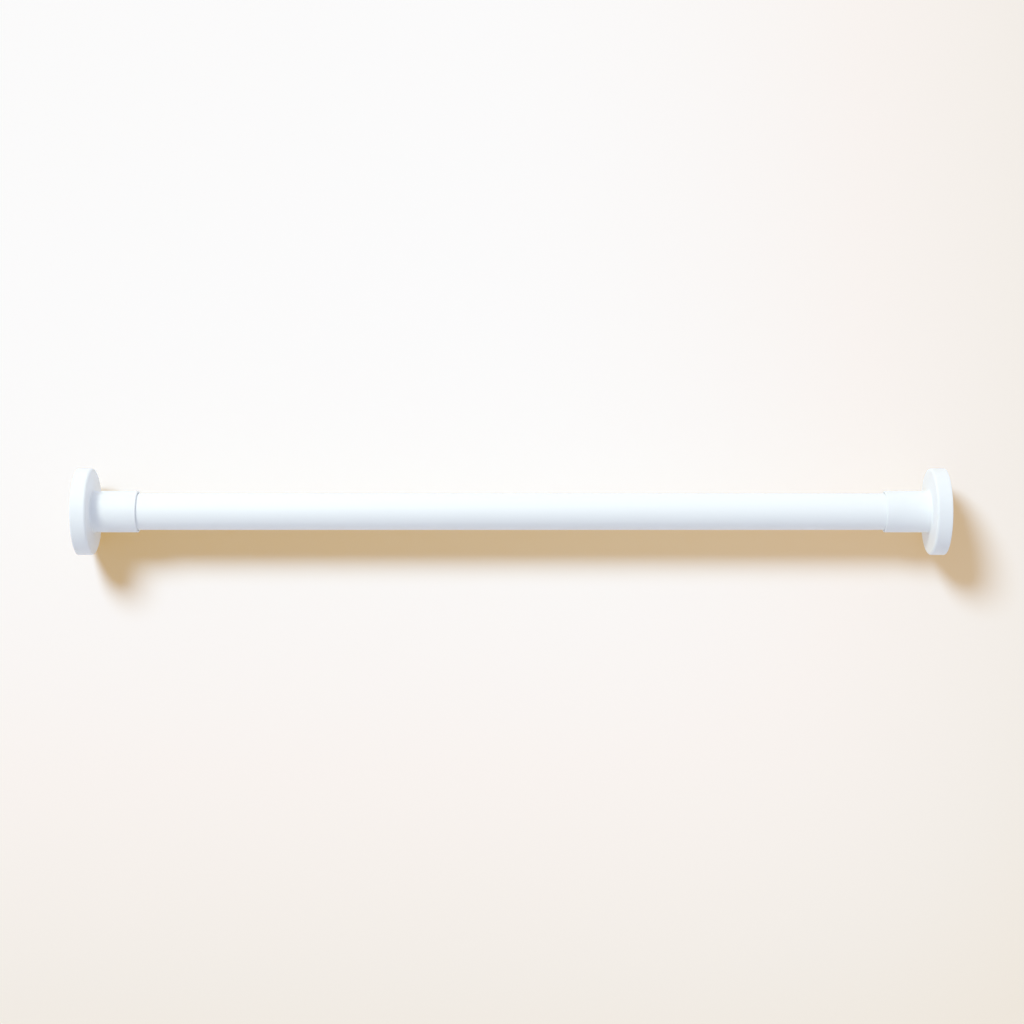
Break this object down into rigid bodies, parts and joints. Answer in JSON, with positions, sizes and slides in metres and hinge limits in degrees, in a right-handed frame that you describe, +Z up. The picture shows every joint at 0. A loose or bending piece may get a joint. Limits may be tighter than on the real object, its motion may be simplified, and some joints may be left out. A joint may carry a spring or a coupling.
{
  "type": "extendable curtain rod",
  "caption": "Telescopic white curtain rod that presses between two walls, with a sprung foot, a twist cam lock and round flange feet.",
  "frame": {"origin": "centre of the left foot's wall face", "axes": "+X along the rod into the room, +Z up, +Y towards the wall behind the window reveal"},
  "size_m": [0.6, 0.06, 0.06],
  "materials": {
    "white_paint": "smooth white powder coat on steel tube",
    "white_moulding": "satin moulded plastic",
    "grip_pad": "matt soft moulding",
    "zinc_steel": "bright zinc plate",
    "turned_steel": "turned, lightly oiled",
    "spring_steel": "drawn wire",
    "nylon": "natural nylon",
    "moulded_plug": "dark glass-filled nylon"
  },
  "bodies": {
    "left_foot": {"left_flange": "white_moulding", "left_pad": "grip_pad", "left_washer": "zinc_steel", "left_screw": "zinc_steel", "plunger_rod": "turned_steel", "retaining_washer": "zinc_steel", "retaining_screw": "zinc_steel", "foot_spring": "spring_steel"},
    "spring_seat": {"thrust_washer": "nylon"},
    "outer_rod": {"outer_tube": "white_paint", "spring_cup": "moulded_plug"},
    "bush": {"mouth_bush": "nylon"},
    "inner_rod": {"inner_tube": "white_paint", "lock_plug": "moulded_plug", "cam_washer": "zinc_steel", "cam_screw": "zinc_steel", "right_plug": "moulded_plug", "right_flange": "white_moulding", "right_pad": "grip_pad", "right_washer": "zinc_steel", "right_screw": "zinc_steel"},
    "cam": {"cam_ring": "nylon"}
  },
  "joints": [
    {"name": "spring_foot", "type": "slide", "parent": "left_foot", "child": "spring_seat", "axis": [-1, 0, 0], "range_m": [0, 0.012], "stiffness_N_per_m": 5000, "springref_m": -0.004, "deforming": ["foot_spring"]},
    {"name": "foot_swivel", "type": "hinge", "parent": "spring_seat", "child": "outer_rod", "pos_m": [0.0639, 0, 0], "axis": [1, 0, 0], "continuous": true},
    {"name": "twist", "type": "hinge", "parent": "outer_rod", "child": "bush", "pos_m": [0.573, 0, 0], "axis": [1, 0, 0], "continuous": true},
    {"name": "extend", "type": "slide", "parent": "bush", "child": "inner_rod", "axis": [1, 0, 0], "range_m": [0, 0.3]},
    {"name": "cam_turn", "type": "hinge", "parent": "inner_rod", "child": "cam", "pos_m": [0.1131, 0, 0.001], "axis": [1, 0, 0], "range_deg": [0, 18]}
  ]
}
